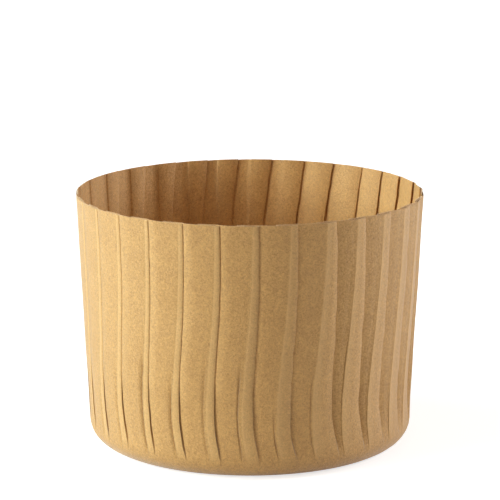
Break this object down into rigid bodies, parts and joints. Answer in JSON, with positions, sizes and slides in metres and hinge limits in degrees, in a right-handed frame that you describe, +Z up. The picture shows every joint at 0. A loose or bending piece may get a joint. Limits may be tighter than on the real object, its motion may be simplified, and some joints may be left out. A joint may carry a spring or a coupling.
{
  "type": "panettone paper mold",
  "caption": "Round kraft paper baking mold with a flat base, a rounded corner and a gently flared, knife-pleated wall.",
  "frame": {"origin": "centre of the mold's box at the underside of its flat base", "axes": "+Z up out of the mouth along the cup's axis, -Y the front, +X to the front's right"},
  "size_m": [0.0699, 0.0699, 0.0508],
  "materials": {
    "kraft_paper": "matte uncoated kraft"
  },
  "bodies": {
    "root": {"paper_mold": "kraft_paper"}
  },
  "joints": []
}
